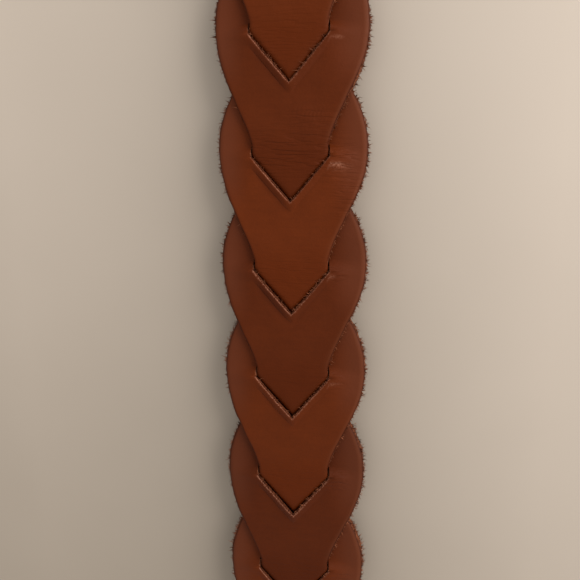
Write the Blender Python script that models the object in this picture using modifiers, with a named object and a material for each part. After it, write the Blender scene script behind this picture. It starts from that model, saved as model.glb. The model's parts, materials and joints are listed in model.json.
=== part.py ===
"""A linked leather belt, lying straight and flat along +Y with its front face up.

Each link is one leather piece with two lobes, folded double at its narrow neck. Each lobe has a V-shaped slit.
The neck of the next link dives through both slits, and its fold hangs below the flaps above them.
The belt is alike on its front and its back, so a leather piece is half a sheet that is mirrored and thickened.
A link's own frame has its origin at the tip of its V, on the belt's middle plane.
"""

import math

import bpy
from mathutils import Vector

# Leather
LEATHER = 0.0015
GAP = 0.0003
SLIT_SIDE_CLEARANCE = 0.0004

# Links
LINK_COUNT = 24
LINK_PITCH = 0.0293
BELT_WIDTH = 0.0380
TONGUE_WIDTH = 0.0192
TONGUE_SHIFT = -0.0005  # necks and slits sit a little to one side of the lobes
SLIT_RISE = 0.0115
SLIT_STEM = 0.0030
LIP_WIDTH = 0.0025  # raised strip along the V, measured along the belt
LIP_LIFT = 0.00125
FLAP_CUT_BACK = 0.0020
FOLD_STEPS = 2

# Straps at the two ends
STRAP_WIDTH = 0.0300
BUCKLE_STRAP_LENGTH = 0.0620
TIP_STRAP_LENGTH = 0.1500
TIP_POINT_LENGTH = 0.0180
HOLE_COUNT = 5
HOLE_DIAMETER = 0.0046
HOLE_PITCH = 0.0190
HOLE_FROM_TIP = 0.0350
HOLE_SIDES = 10
STEP_DOWN = 0.0060  # over which a strap's two layers close up beside the links
DROOP_LENGTH = 0.0280  # over which a strap sinks from the links' height to the surface
DROOP_STEPS = 4

# Buckle
BAR_DIAMETER = 0.0040
BAR_FOLD_STEPS = 4
FRAME_WINDOW = 0.0220
FRAME_SIDE_CLEARANCE = 0.0014
FRAME_CORNER = 0.0060
CORNER_STEPS = 3
PRONG_DIAMETER = 0.0034
PRONG_OVERHANG = 0.0012
PRONG_BITE = 0.0002  # how deep the prong's end is fused into the front rail
COLLAR_WALL = 0.0010
COLLAR_WIDTH = 0.0042
COLLAR_SIDES = 12
PRONG_SLOT_CLEARANCE = 0.0005
PRONG_SLOT_LENGTH = 0.0100
BAR_FOLD_STRAIGHT = 0.0040
BAR_FOLD_CLOSE = 0.0160

# Modelling
WELD_DISTANCE = 0.00001  # points closer than this are one
CUTTER_DEPTH = 0.0120

# Heights of a sheet's middle surface above the belt's middle plane: under, and over, one layer of leather
LOW = GAP / 2 + LEATHER / 2
HIGH = LOW + LEATHER + GAP
LIP = HIGH + LIP_LIFT

HALF_BELT = BELT_WIDTH / 2
HALF_TONGUE = TONGUE_WIDTH / 2
HALF_SLIT = HALF_TONGUE + SLIT_SIDE_CLEARANCE
HALF_STRAP = STRAP_WIDTH / 2
STEM_TOP = SLIT_RISE + SLIT_STEM
FOLD_DROP = LIP_WIDTH + GAP  # from the V tip that a fold hangs in down to the middle of its bend
DIVE_FOOT = LIP_WIDTH - 2 * GAP  # from the V line that a neck dives through down to where it starts to rise
FOLD_CREST = FOLD_DROP + LOW + LEATHER / 2
END_NOTCH = LINK_PITCH - FOLD_CREST - GAP  # the lobe's end, between its shoulders
PRONG_SLOT = COLLAR_WIDTH + 2 * PRONG_SLOT_CLEARANCE
BAR_FOLD_RADIUS = BAR_DIAMETER / 2 + GAP + LEATHER / 2
BAR_CORNER = FRAME_SIDE_CLEARANCE + BAR_DIAMETER / 2 - GAP  # the bar is straight as far as the strap's edges
FRAME_LENGTH = FRAME_WINDOW + BAR_DIAMETER  # from the middle of the bar to the middle of the front rail

# Places along the belt, with its middle at zero: the V tip of the buckle strap and the one that the tip strap has
BUCKLE_REACH = BUCKLE_STRAP_LENGTH + FRAME_LENGTH + BAR_DIAMETER / 2 + PRONG_OVERHANG
CHAIN_LENGTH = (LINK_COUNT + 1) * LINK_PITCH
CHAIN_START = (BUCKLE_REACH - CHAIN_LENGTH - TIP_STRAP_LENGTH) / 2
CHAIN_END = CHAIN_START + CHAIN_LENGTH

# Outer edge of a lobe from its waist to its end.
# along: share of the pitch from the V tip; width: share of half the belt's width
# rise: share of the step from LOW to HIGH
LOBE_EDGE = {
    # row:     (along, width, rise)
    "waist":    (-0.19, 0.710, 1.00),
    "tip":      (0.00,  0.865, 1.00),
    "corner":   (0.30,  0.980, 0.34),
    "stem":     (0.51,  0.998, 0.17),
    "arm":      (0.72,  0.930, 0.08),
    "shoulder": (0.92,  0.785, 0.00),
}

# Outline of the tip strap's point.
# along: share of the point's length; width: share of half the strap's width
TIP_POINT = (
    # along, width
    (0.00, 1.00),
    (0.45, 0.86),
    (0.80, 0.56),
    (1.00, 0.20),
)

LEATHER_DARK = (0.115, 0.034, 0.013)
LEATHER_LIGHT = (0.150, 0.043, 0.015)
LEATHER_ROUGHNESS = 0.55
BRASS = (0.50, 0.36, 0.16)
BRASS_ROUGHNESS = 0.35


def clear_scene():
    for item in list(bpy.data.objects):
        bpy.data.objects.remove(item, do_unlink=True)


def collection(name):
    group = bpy.data.collections.new(name)
    bpy.context.scene.collection.children.link(group)
    return group


def material(name, colour, roughness, metallic=0.0):
    finish = bpy.data.materials.new(name)
    finish.use_nodes = True
    shader = finish.node_tree.nodes["Principled BSDF"]
    shader.inputs["Base Color"].default_value = (*colour, 1.0)
    shader.inputs["Roughness"].default_value = roughness
    shader.inputs["Metallic"].default_value = metallic
    return finish


class Sheet:
    """Rows of points across a leather piece, joined into one open surface."""

    def __init__(self):
        self.points = []
        self.faces = []

    def row(self, *points):
        first = len(self.points)
        self.points.extend(points)
        return list(range(first, len(self.points)))

    def face(self, *corners):
        self.faces.append(corners)

    def join(self, lower, upper, leave_out=()):
        """Quads between two rows of equal length, left to right, apart from the spans left out."""
        for span in range(len(lower) - 1):
            if span not in leave_out:
                self.face(lower[span], lower[span + 1], upper[span + 1], upper[span])

    def loft(self, lower, upper):
        """Triangles between two rows of unequal length, left to right."""
        below = above = 0
        while below < len(lower) - 1 or above < len(upper) - 1:
            share_below = (below + 1) / (len(lower) - 1)
            share_above = (above + 1) / (len(upper) - 1)
            if above == len(upper) - 1 or share_below <= share_above and below < len(lower) - 1:
                self.face(lower[below], lower[below + 1], upper[above])
                below += 1
            else:
                self.face(lower[below], upper[above + 1], upper[above])
                above += 1

    def mesh(self, name):
        made = bpy.data.meshes.new(name)
        made.from_pydata(self.points, [], self.faces)
        made.update()
        return made


def across(y, height, *places):
    return [(x, y, height) for x in places]


def quarter_fold(centre_y, radius, steps):
    """Places along a fold from its crest on the middle plane up to the sheet's full height."""
    for step in range(steps + 1):
        angle = math.radians(90.0) * step / steps
        yield centre_y - radius * math.cos(angle), radius * math.sin(angle)


def slit_line(x):
    """Height along the belt of the V slit at a place across it."""
    return SLIT_RISE * abs(x - TONGUE_SHIFT) / HALF_SLIT


def edge_point(row, side):
    along, width, rise = LOBE_EDGE[row]
    return (side * width * HALF_BELT, along * LINK_PITCH, LOW + rise * (HIGH - LOW))


def add_neck(sheet):
    """The fold below the neighbour's flaps, the dive through its slit and the tongue over its flap."""
    places = [TONGUE_SHIFT - HALF_TONGUE, TONGUE_SHIFT, TONGUE_SHIFT + HALF_TONGUE]
    folded = quarter_fold(-LINK_PITCH - FOLD_DROP, LOW, FOLD_STEPS)
    rows = [sheet.row(*across(y, height, *places)) for y, height in folded]
    for offset, height in ((-DIVE_FOOT, LOW), (FLAP_CUT_BACK, HIGH)):
        rows.append(sheet.row(*((x, slit_line(x) - LINK_PITCH + offset, height) for x in places)))
    rows.append(sheet.row(*across(STEM_TOP - LINK_PITCH, HIGH, *places)))
    for lower, upper in zip(rows, rows[1:]):
        sheet.join(lower, upper)
    return rows[-1]


def add_lobe(sheet):
    """The body, the raised lips below the V slit, the arms beside it and the flap above it."""
    left = TONGUE_SHIFT - HALF_SLIT
    right = TONGUE_SHIFT + HALF_SLIT

    waist_y = edge_point("waist", 1)[1]
    inner = across(waist_y, HIGH, left, TONGUE_SHIFT, right)
    waist = sheet.row(edge_point("waist", -1), *inner, edge_point("waist", 1))
    inner = [(left, 0.0, HIGH), (TONGUE_SHIFT, -LIP_WIDTH, HIGH), (right, 0.0, HIGH)]
    tip = sheet.row(edge_point("tip", -1), *inner, edge_point("tip", 1))
    sheet.join(waist, tip)

    foot_y = SLIT_RISE - LIP_WIDTH
    foot_left = sheet.row(edge_point("corner", -1), (left, foot_y, HIGH))
    foot_right = sheet.row((right, foot_y, HIGH), edge_point("corner", 1))
    sheet.join(tip[:2], foot_left)
    sheet.join(tip[3:], foot_right)
    sheet.face(tip[1], tip[2], foot_left[1])
    sheet.face(tip[2], tip[3], foot_right[0])

    lips = sheet.row((left, SLIT_RISE, LIP), (TONGUE_SHIFT, 0.0, LIP), (right, SLIT_RISE, LIP))
    sheet.face(foot_left[1], tip[2], lips[1], lips[0])
    sheet.face(tip[2], foot_right[0], lips[2], lips[1])

    stem = sheet.row(edge_point("stem", -1), *across(STEM_TOP, LOW, left, right), edge_point("stem", 1))
    sheet.face(foot_left[0], foot_left[1], lips[0])
    sheet.face(foot_left[0], lips[0], stem[1], stem[0])
    sheet.face(foot_right[0], foot_right[1], lips[2])
    sheet.face(lips[2], foot_right[1], stem[3], stem[2])

    flap = sheet.row(
        *((x, slit_line(x) + FLAP_CUT_BACK, LOW) for x in (left + SLIT_SIDE_CLEARANCE, TONGUE_SHIFT)),
        (right - SLIT_SIDE_CLEARANCE, slit_line(right - SLIT_SIDE_CLEARANCE) + FLAP_CUT_BACK, LOW),
    )
    sheet.face(*flap, stem[2], stem[1])

    arm_y = edge_point("arm", 1)[1]
    arm = sheet.row(edge_point("arm", -1), *across(arm_y, LOW, left, right), edge_point("arm", 1))
    sheet.join(stem, arm)
    notch = sheet.row(*across(END_NOTCH, LOW, left, right))
    sheet.join(arm[1:3], notch)
    shoulder_y = edge_point("shoulder", 1)[1]
    shoulder_left = sheet.row(edge_point("shoulder", -1), (left, shoulder_y, LOW))
    shoulder_right = sheet.row((right, shoulder_y, LOW), edge_point("shoulder", 1))
    sheet.face(arm[0], arm[1], notch[0], shoulder_left[1], shoulder_left[0])
    sheet.face(arm[2], arm[3], shoulder_right[1], shoulder_right[0], notch[1])
    return waist


def link_mesh():
    sheet = Sheet()
    tongue = add_neck(sheet)
    waist = add_lobe(sheet)
    sheet.loft(tongue, waist)
    return sheet.mesh("link")


def buckle_strap_mesh():
    """A lobe like a link's, on a strap that folds round the buckle's bar and has a slot for the prong."""
    sheet = Sheet()
    bar_y = -BUCKLE_STRAP_LENGTH
    places = [-HALF_STRAP, -PRONG_SLOT / 2, PRONG_SLOT / 2, HALF_STRAP]
    slope = (BAR_FOLD_RADIUS - LOW) / (BAR_FOLD_CLOSE - BAR_FOLD_STRAIGHT)
    slot_end_height = BAR_FOLD_RADIUS - slope * (PRONG_SLOT_LENGTH - BAR_FOLD_STRAIGHT)
    profile = list(quarter_fold(bar_y, BAR_FOLD_RADIUS, BAR_FOLD_STEPS))
    profile.append((bar_y + BAR_FOLD_STRAIGHT, BAR_FOLD_RADIUS))
    profile.append((bar_y + PRONG_SLOT_LENGTH, slot_end_height))
    slotted = [sheet.row(*across(y, height, *places)) for y, height in profile]
    for lower, upper in zip(slotted, slotted[1:]):
        sheet.join(lower, upper, leave_out=(1,))

    waist = add_lobe(sheet)
    closed_y = edge_point("waist", 1)[1] - STEP_DOWN
    rows = [slotted[-1]]
    for y in (bar_y + BAR_FOLD_CLOSE, *droop_places(closed_y, -1)[::-1]):
        rows.append(sheet.row(*across(y, LOW, *places)))
    for lower, upper in zip(rows, rows[1:]):
        sheet.join(lower, upper)
    sheet.loft(rows[-1], waist)
    return sheet.mesh("buckle_strap")


def tip_strap_mesh():
    """A neck like a link's, on a doubled strap with a pointed end."""
    sheet = Sheet()
    tongue = add_neck(sheet)
    waist_y = edge_point("waist", 1)[1]
    waist = sheet.row(edge_point("waist", -1), (TONGUE_SHIFT, waist_y, HIGH), edge_point("waist", 1))
    sheet.join(tongue, waist)

    point_start = TIP_STRAP_LENGTH - TIP_POINT_LENGTH
    profile = [(0.0, HIGH, HALF_STRAP)]
    profile += [(y, LOW, HALF_STRAP) for y in droop_places(STEP_DOWN, 1)]
    profile += [(point_start + TIP_POINT_LENGTH * along, LOW, HALF_STRAP * width) for along, width in TIP_POINT]
    rows = [sheet.row(*across(y, height, -half, half)) for y, height, half in profile]
    sheet.loft(waist, rows[0])
    for lower, upper in zip(rows, rows[1:]):
        sheet.join(lower, upper)
    return sheet.mesh("tip_strap")


def droop_places(start, direction):
    """Rows along a strap, in its own frame, where it sinks from the links' height to the surface."""
    return [start + direction * DROOP_LENGTH * step / DROOP_STEPS for step in range(DROOP_STEPS + 1)]


def sink(mesh, start, direction, depth):
    """Lowers a strap smoothly by a depth, along its length from a start."""
    for vertex in mesh.vertices:
        share = min(max(direction * (vertex.co.y - start) / DROOP_LENGTH, 0.0), 1.0)
        vertex.co.z -= depth * share * share * (3.0 - 2.0 * share)


def place(group, name, mesh, finish, location):
    item = bpy.data.objects.new(name, mesh)
    group.objects.link(item)
    item.location = location
    if not mesh.materials:
        mesh.materials.append(None)
    item.material_slots[0].link = "OBJECT"
    item.material_slots[0].material = finish
    return item


def thicken(item):
    """Mirrors the half sheet through the middle plane and gives it the leather's thickness."""
    mirror = item.modifiers.new("Back half", "MIRROR")
    mirror.use_axis = (False, False, True)
    mirror.merge_threshold = WELD_DISTANCE
    solid = item.modifiers.new("Leather", "SOLIDIFY")
    solid.thickness = LEATHER
    solid.offset = 0.0
    solid.use_even_offset = True
    return item


def evaluated_mesh(item):
    graph = bpy.context.evaluated_depsgraph_get()
    return bpy.data.meshes.new_from_object(item.evaluated_get(graph))


def thick_mesh(group, name, half_sheet):
    """The finished mesh of a leather piece, as plain faces."""
    item = thicken(place(group, name, half_sheet, None, (0.0, 0.0, 0.0)))
    mesh = evaluated_mesh(item)
    bpy.data.objects.remove(item)
    return mesh


def set_aside(item, group):
    """Moves a helper object to its own collection and keeps it out of renders."""
    for owner in list(item.users_collection):
        owner.objects.unlink(item)
    group.objects.link(item)
    item.hide_render = True
    item.display_type = "WIRE"


def add_prong_holes(cutters, strap):
    """Cuts the row of holes through both layers of the tip strap."""
    last = CHAIN_END + TIP_STRAP_LENGTH - HOLE_FROM_TIP
    for number in range(HOLE_COUNT):
        bpy.ops.mesh.primitive_cylinder_add(
            vertices=HOLE_SIDES,
            radius=HOLE_DIAMETER / 2,
            depth=CUTTER_DEPTH,
            location=(0.0, last - number * HOLE_PITCH, LOW + LEATHER / 2),
        )
        cutter = bpy.context.object
        cutter.name = f"hole_cutter_{number + 1}"
        set_aside(cutter, cutters)
        cut = strap.modifiers.new(f"Hole {number + 1}", "BOOLEAN")
        cut.operation = "DIFFERENCE"
        cut.solver = "EXACT"
        cut.object = cutter


def tube(group, name, points, diameter, cyclic):
    """A round rod along points, as a mesh with welded caps."""
    curve = bpy.data.curves.new(name, "CURVE")
    curve.dimensions = "3D"
    curve.bevel_depth = diameter / 2
    curve.bevel_resolution = 2
    curve.use_fill_caps = not cyclic
    spline = curve.splines.new("POLY")
    spline.points.add(len(points) - 1)
    for control, point in zip(spline.points, points):
        control.co = (*point, 1.0)
    spline.use_cyclic_u = cyclic
    rod = bpy.data.objects.new(name, curve)
    group.objects.link(rod)
    mesh = evaluated_mesh(rod)
    bpy.data.objects.remove(rod)
    item = bpy.data.objects.new(name, mesh)
    group.objects.link(item)
    weld = item.modifiers.new("Caps", "WELD")
    weld.merge_threshold = WELD_DISTANCE
    return item


def frame_path(bar, half_width):
    """Rounded rectangle from the bar to the front rail, at the bar's height."""
    rail_y = bar.y - FRAME_LENGTH
    corners = (
        # side, start angle, radius, centre along
        (1, 0.0, BAR_CORNER, bar.y - BAR_CORNER),
        (-1, 90.0, BAR_CORNER, bar.y - BAR_CORNER),
        (-1, 180.0, FRAME_CORNER, rail_y + FRAME_CORNER),
        (1, 270.0, FRAME_CORNER, rail_y + FRAME_CORNER),
    )
    path = []
    for side, start, radius, centre_y in corners:
        centre_x = side * (half_width - radius)
        for step in range(CORNER_STEPS + 1):
            angle = math.radians(start + 90.0 * step / CORNER_STEPS)
            path.append((centre_x + radius * math.cos(angle), centre_y + radius * math.sin(angle), bar.z))
    return path


def add_buckle(group, scrap, bar):
    """Frame, prong and the prong's collar round the bar, fused into one solid."""
    half_width = HALF_STRAP + FRAME_SIDE_CLEARANCE + BAR_DIAMETER / 2
    frame = tube(group, "buckle", frame_path(bar, half_width), BAR_DIAMETER, cyclic=True)

    rail_y = bar.y - FRAME_LENGTH
    over_rail = bar.z + BAR_DIAMETER / 2 + PRONG_DIAMETER / 2 - PRONG_BITE
    prong_path = (
        (0.0, bar.y, bar.z),
        (0.0, rail_y, over_rail),
        (0.0, rail_y - BAR_DIAMETER / 2 - PRONG_OVERHANG, over_rail),
    )
    prong = tube(scrap, "prong_rod", prong_path, PRONG_DIAMETER, cyclic=False)

    bpy.ops.mesh.primitive_cylinder_add(
        vertices=COLLAR_SIDES,
        radius=BAR_DIAMETER / 2 + COLLAR_WALL,
        depth=COLLAR_WIDTH,
        location=bar,
        rotation=(0.0, math.radians(90.0), 0.0),
    )
    collar = bpy.context.object
    collar.name = "prong_collar"

    for other in (prong, collar):
        set_aside(other, scrap)
        fuse = frame.modifiers.new(other.name, "BOOLEAN")
        fuse.operation = "UNION"
        fuse.solver = "EXACT"
        fuse.object = other
    frame.data.materials.append(material("brass", BRASS, BRASS_ROUGHNESS, 1.0))


def build():
    clear_scene()
    belt = collection("linked_belt")
    cutters = collection("cutters")
    link = link_mesh()
    thick_link = thick_mesh(cutters, "link_height", link)
    lift = -min(vertex.co.z for vertex in thick_link.vertices)

    for number in range(1, LINK_COUNT + 1):
        colour = LEATHER_LIGHT if number % 2 else LEATHER_DARK
        finish = material(f"leather_{number:02d}", colour, LEATHER_ROUGHNESS)
        place_at = (0.0, CHAIN_START + number * LINK_PITCH, lift)
        thicken(place(belt, f"link_{number:02d}", link, finish, place_at))

    buckle_strap_leather = material("buckle_strap_leather", LEATHER_DARK, LEATHER_ROUGHNESS)
    bar_height = BAR_FOLD_RADIUS + LEATHER / 2
    strap = thick_mesh(cutters, "buckle_strap_sheet", buckle_strap_mesh())
    sink(strap, edge_point("waist", 1)[1] - STEP_DOWN, -1, lift - bar_height)
    place(belt, "buckle_strap", strap, buckle_strap_leather, (0.0, CHAIN_START, lift))
    add_buckle(belt, cutters, Vector((0.0, CHAIN_START - BUCKLE_STRAP_LENGTH, bar_height)))

    tip = thick_mesh(cutters, "tip_strap_sheet", tip_strap_mesh())
    sink(tip, STEP_DOWN, 1, lift - LOW - LEATHER / 2)
    tip_strap_leather = material("tip_strap_leather", LEATHER_LIGHT, LEATHER_ROUGHNESS)
    tip_strap = place(belt, "tip_strap", tip, tip_strap_leather, (0.0, CHAIN_END, lift))
    add_prong_holes(cutters, tip_strap)


build()
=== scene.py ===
"""Dresses the solids of a linked leather belt: folded links with raw, fuzzy edges, two straps and a buckle.

Every leather piece is a grid over half of its middle surface. The grid is mirrored through the belt's middle
plane, given a thickness that rounds off towards its edges, and closed by a raw cut edge that carries fibres.
"""

import json
import math
from types import SimpleNamespace

import bmesh
import bpy
import numpy as np
from bpy.props import FloatProperty, FloatVectorProperty, IntProperty, PointerProperty
from bpy.types import Operator, Panel, PropertyGroup
from mathutils import Matrix, Vector

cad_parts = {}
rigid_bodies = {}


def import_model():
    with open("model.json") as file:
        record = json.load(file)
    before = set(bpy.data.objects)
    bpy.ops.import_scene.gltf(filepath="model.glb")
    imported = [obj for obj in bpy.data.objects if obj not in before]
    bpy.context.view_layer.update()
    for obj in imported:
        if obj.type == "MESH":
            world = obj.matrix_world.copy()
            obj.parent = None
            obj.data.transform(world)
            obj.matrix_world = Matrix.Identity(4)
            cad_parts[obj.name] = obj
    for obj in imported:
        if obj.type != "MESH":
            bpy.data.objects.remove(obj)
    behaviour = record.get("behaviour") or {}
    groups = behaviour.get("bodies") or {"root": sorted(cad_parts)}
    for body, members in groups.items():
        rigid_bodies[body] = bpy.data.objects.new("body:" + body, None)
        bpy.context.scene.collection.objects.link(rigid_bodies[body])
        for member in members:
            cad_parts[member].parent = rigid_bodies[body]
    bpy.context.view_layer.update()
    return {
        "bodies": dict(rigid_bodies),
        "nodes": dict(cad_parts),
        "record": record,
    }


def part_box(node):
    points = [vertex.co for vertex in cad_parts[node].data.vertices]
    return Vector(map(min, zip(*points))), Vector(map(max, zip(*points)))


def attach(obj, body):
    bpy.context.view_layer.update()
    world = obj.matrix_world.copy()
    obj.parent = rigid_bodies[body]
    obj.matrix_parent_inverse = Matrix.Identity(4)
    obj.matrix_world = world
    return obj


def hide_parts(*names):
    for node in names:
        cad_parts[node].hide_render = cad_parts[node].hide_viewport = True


bl_info = {
    "name": "Linked leather belt",
    "version": (1, 0, 0),
    "blender": (4, 5, 0),
    "location": "3D View > Sidebar > Belt",
    "description": "Leather links with raw edges, straps and a buckle around the belt's solids",
    "category": "Object",
}

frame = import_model()
BODY = next(iter(frame["bodies"]))
LINKS = sorted(node for node in frame["nodes"] if node.startswith("link_"))
SLOTS = {part["node"]: part["material_slot"] for part in frame["record"]["subparts"]}
FIRST_LOW, FIRST_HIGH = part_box(LINKS[0])
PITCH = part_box(LINKS[1])[0].y - FIRST_LOW.y

# The link of the photograph whose V lies nearest to the middle of the picture
MIDDLE_LINK = 14

# Outline of a link's half width. along: share of the pitch from the V tip; width: share of half the belt
LINK_OUTLINE = (
    # along, width
    (-1.30, 0.502),
    (-0.54, 0.502),
    (-0.43, 0.545),
    (-0.33, 0.604),
    (-0.19, 0.704),
    (-0.07, 0.784),
    (0.00, 0.836),
    (0.14, 0.917),
    (0.28, 0.974),
    (0.45, 0.998),
    (0.58, 0.985),
    (0.72, 0.930),
    (0.83, 0.865),
    (0.93, 0.785),
    (1.00, 0.720),
)

# Height of a lobe's outer edge. along: share of the pitch; rise: share of the step from the lower layer's
# height to the upper one's
EDGE_RISE = (
    # along, rise
    (-0.30, 1.00),
    (0.00, 0.98),
    (0.15, 0.66),
    (0.30, 0.36),
    (0.51, 0.20),
    (0.72, 0.09),
    (0.93, 0.00),
)

# Outline of the tip strap's point. along: share of the point's length; width: share of half the strap
TIP_OUTLINE = (
    # along, width
    (0.00, 1.00),
    (0.25, 0.955),
    (0.45, 0.86),
    (0.65, 0.72),
    (0.80, 0.56),
    (0.92, 0.35),
    (1.00, 0.16),
)

# Shares of the way from the slit's side to the lobe's outer edge, closer together where the edge rounds off
OUTER_PLACES = (0.20, 0.40, 0.58, 0.72, 0.84, 0.93, 1.0)
# Shares of the lip's width, closer together at the cut edge
LIP_PLACES = (1.25, 1.05, 0.90, 0.76, 0.62, 0.48, 0.36, 0.25, 0.16, 0.08, 0.03, 0.0)
# Distances above the neighbour's V line, closer together where the neck dives through the slit
DIVE_BELOW = (-0.0024, -0.0016, -0.0010, -0.0006, -0.0003)
DIVE_PLACES = (*DIVE_BELOW, 0.0, 0.0003, 0.0006, 0.0009, 0.0012, 0.0016, 0.0022, 0.0030)
# Where the raised lip meets the body, as a share of the lip's width
LIP_FOOT = 1.08

# Spans of the grids: across the slit, round half a fold, from a straight row to the V's slopes, over a body,
# along the slit's straight stretch and along an arm
INNER_SPANS = 20
FOLD_SPANS = 4
FAN_SPANS = 7
BODY_SPANS = 24
STEM_SPANS = 5
ARM_SPANS = 11
# Rows of the straps: their distance, and how many straighten out after a neck and shape the tip's point
STRAP_STEP = 0.0016
TURN_ROWS = 25
POINT_ROWS = 16

# Place of a link's waist and of its shoulder, as shares of the pitch from the V tip
WAIST = -0.19
SHOULDER = 0.925
# Where a neck ends and where a lobe's own height begins, as shares of the pitch from the V tip
NECK_END = -0.3
LOBE_START = -0.5
# How far the outer edge hangs below the V's slope, as a share of the slit's rise
EDGE_FALL = 0.13
# Where the leather begins to thin beside an outer edge and a lip, and the share of its thickness left there
EDGE_ROUND = 0.0008
EDGE_WALL = 0.45
LIP_ROUND = 0.0011
LIP_WALL = 0.30
# How the lips rise: over what length in lip widths, how steeply, how much less towards the slit's ends and
# how much less on the right
LIP_REACH = 1.12
LIP_POWER = 1.35
LIP_FADE = 0.62
LIP_RIGHT = 0.28
# The crease below a lip
CREASE_WIDTH = 0.00042
CREASE_DEPTH = 0.00009
# Length over which the painted shade on a neck deepens towards the slit that it dives through
DIVE_REACH = 0.0022
# How far a neck is thinned where the lip presses, as a share, and how far into the slit and over what length
SQUEEZE = 0.28
SQUEEZE_PLACE = 0.0004
SQUEEZE_LENGTH = 0.0013
# Unevenness of a cut edge, outwards: of all of it, and of the middle of its thickness
EDGE_ROUGH = (-0.00008, 0.00006)
EDGE_BULGE = (0.00002, 0.00010)
# Lengths of the leather's gentle waves and of its small ones, and their heights
LONG_WAVES = (0.006, 0.014)
SHORT_WAVES = (0.0022, 0.0045)
LINK_WAVES = 0.00005
TIP_WAVES = 0.00003
# Turns of the surface beyond which its shading stays sharp, in degrees
LEATHER_CREASE = 48.0
METAL_CREASE = 35.0

# Fibres per metre of cut edge
RIGHT_BODY_FIBRES = 5000.0
RIGHT_ARM_FIBRES = 9000.0
LEFT_BODY_FIBRES = 300.0
LEFT_ARM_FIBRES = 6500.0
LIP_FIBRES = 1800.0
FUZZY_LIP_FIBRES = 5500.0
TIP_STRAP_FIBRES = 300.0
# How near a lip's line its fibres stand
LIP_NEAR = 0.0006
# Lengths of fibres as shares of their usual length: the least, the mean of what is added, the longest, and
# the longest that stays straight
HAIR_LEAST = 0.35
HAIR_SPREAD = 0.45
HAIR_MOST = 3.2
HAIR_STRAIGHT = 1.3

# Buckle: its prong, the collar that holds the prong on the bar, and the corners at the front rail
PRONG_RADIUS = 0.0017
PRONG_OVERHANG = 0.0012
PRONG_ARCH = 0.0006
PRONG_SINK = 0.0002
PRONG_DROP = 0.0004
COLLAR_WALL = 0.0010
COLLAR_WIDTH = 0.0042
COLLAR_BEVEL = 0.0004
RAIL_CORNER = 0.0060
# Points of a rod's caps closer than this become one
WELD = 0.00001

# Stage: the side of the square surface, and the nearest and farthest things that the camera sees
FLOOR_SIZE = 6.0
CAMERA_CLIP = (0.005, 20.0)

# Heights between which holes are cut: from below the belt to above the tip strap and the buckle strap
CUT_BELOW = -0.002
CUT_ABOVE_TIP = 0.012
CUT_ABOVE_BAR = 0.020

# Values that a grid carries at its points. half: share of the full thickness; the others: how far a point
# belongs to an arm, a dive through a slit, a lip's edge, the crease below a lip, a neck and an outer edge
POINT_VALUES = ("half", "arm", "dive", "lip", "foot", "neck", "border")

# Grooves beside the lips that the photograph shows, by link. side and along: the middle, as shares of half
# the slit and of the pitch; reach: half length, as a share of half the slit; turn: in degrees; depth and
# width: in metres
GROOVES = {
    # link: ((side, along, reach, turn, depth, width), ...)
    16: ((-0.42, 0.03, 0.45, -47.0, 0.00010, 0.0005),),
    15: ((-0.50, 0.05, 0.55, -47.0, 0.00016, 0.0005),),
    14: ((-0.50, 0.05, 0.55, -47.0, 0.00018, 0.0006), (-0.62, -0.02, 0.30, -44.0, 0.00008, 0.0006)),
    13: ((-0.45, 0.05, 0.45, -47.0, 0.00016, 0.0005),),
    12: ((-0.42, 0.03, 0.50, -46.0, 0.00016, 0.0005),),
}

# Wrinkled patches that the photograph shows, by link. side and along: the middle, as above; reach_x: share
# of half the slit; reach_y: share of the pitch; strength: share of the deepest wrinkling
WRINKLES = {
    # link: ((side, along, reach_x, reach_y, strength), ...)
    17: ((0.0, -0.62, 1.0, 0.25, 0.35),),
    16: ((0.0, -0.56, 1.1, 0.17, 1.0), (0.55, -0.28, 0.5, 0.05, 0.8)),
    15: ((1.25, 0.36, 0.40, 0.14, 0.9), (1.45, 0.05, 0.35, 0.20, 0.6), (0.0, -0.62, 1.0, 0.15, 0.45)),
    14: ((1.15, 0.36, 0.25, 0.08, 0.6), (0.2, -0.62, 0.9, 0.15, 0.25)),
    13: ((1.15, 0.38, 0.25, 0.08, 0.4), (0.0, -0.60, 0.9, 0.15, 0.25)),
    12: ((1.20, 0.36, 0.30, 0.10, 0.6), (0.0, -0.60, 0.9, 0.15, 0.25)),
}

# How the lips of the photograph's links differ. foot: strength of the painted shade in the crease below the
# lip; fuzz:
# strength of its raw edge
LIPS = {
    # link: (foot, fuzz)
    17: (0.5, 0.4),
    16: (0.7, 0.5),
    15: (0.9, 0.3),
    14: (1.0, 0.9),
    13: (0.35, 0.9),
    12: (0.20, 1.6),
    11: (0.30, 0.8),
}

# How light each link of the photograph is beside its slot's colour: partly the link's own tone, partly
# painted shade that deepens towards the lower link numbers, where the light falls off
TONES_AND_SHADE = {17: 1.05, 16: 1.08, 15: 1.06, 14: 1.00, 13: 0.95, 12: 0.86, 11: 0.90}

# Pale scuffs, by link. side, along, reach_x, reach_y, strength: as for the wrinkles
SCUFFS = {
    # link: ((side, along, reach_x, reach_y, strength), ...)
    16: ((1.12, 0.350, 0.12, 0.014, 0.45),),
    15: ((1.12, 0.325, 0.15, 0.018, 0.9), (1.30, 0.30, 0.22, 0.030, 0.25)),
    14: ((1.03, 0.350, 0.08, 0.015, 0.6),),
    13: ((1.06, 0.345, 0.12, 0.015, 0.5),),
}


def length_prop(name, description, default):
    return FloatProperty(name=name, description=description, default=default, unit="LENGTH", precision=5)


def angle_prop(name, description, degrees):
    return FloatProperty(name=name, description=description, default=math.radians(degrees), subtype="ANGLE")


def colour_prop(name, description, default):
    return FloatVectorProperty(name=name, description=description, default=default, subtype="COLOR")


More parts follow.
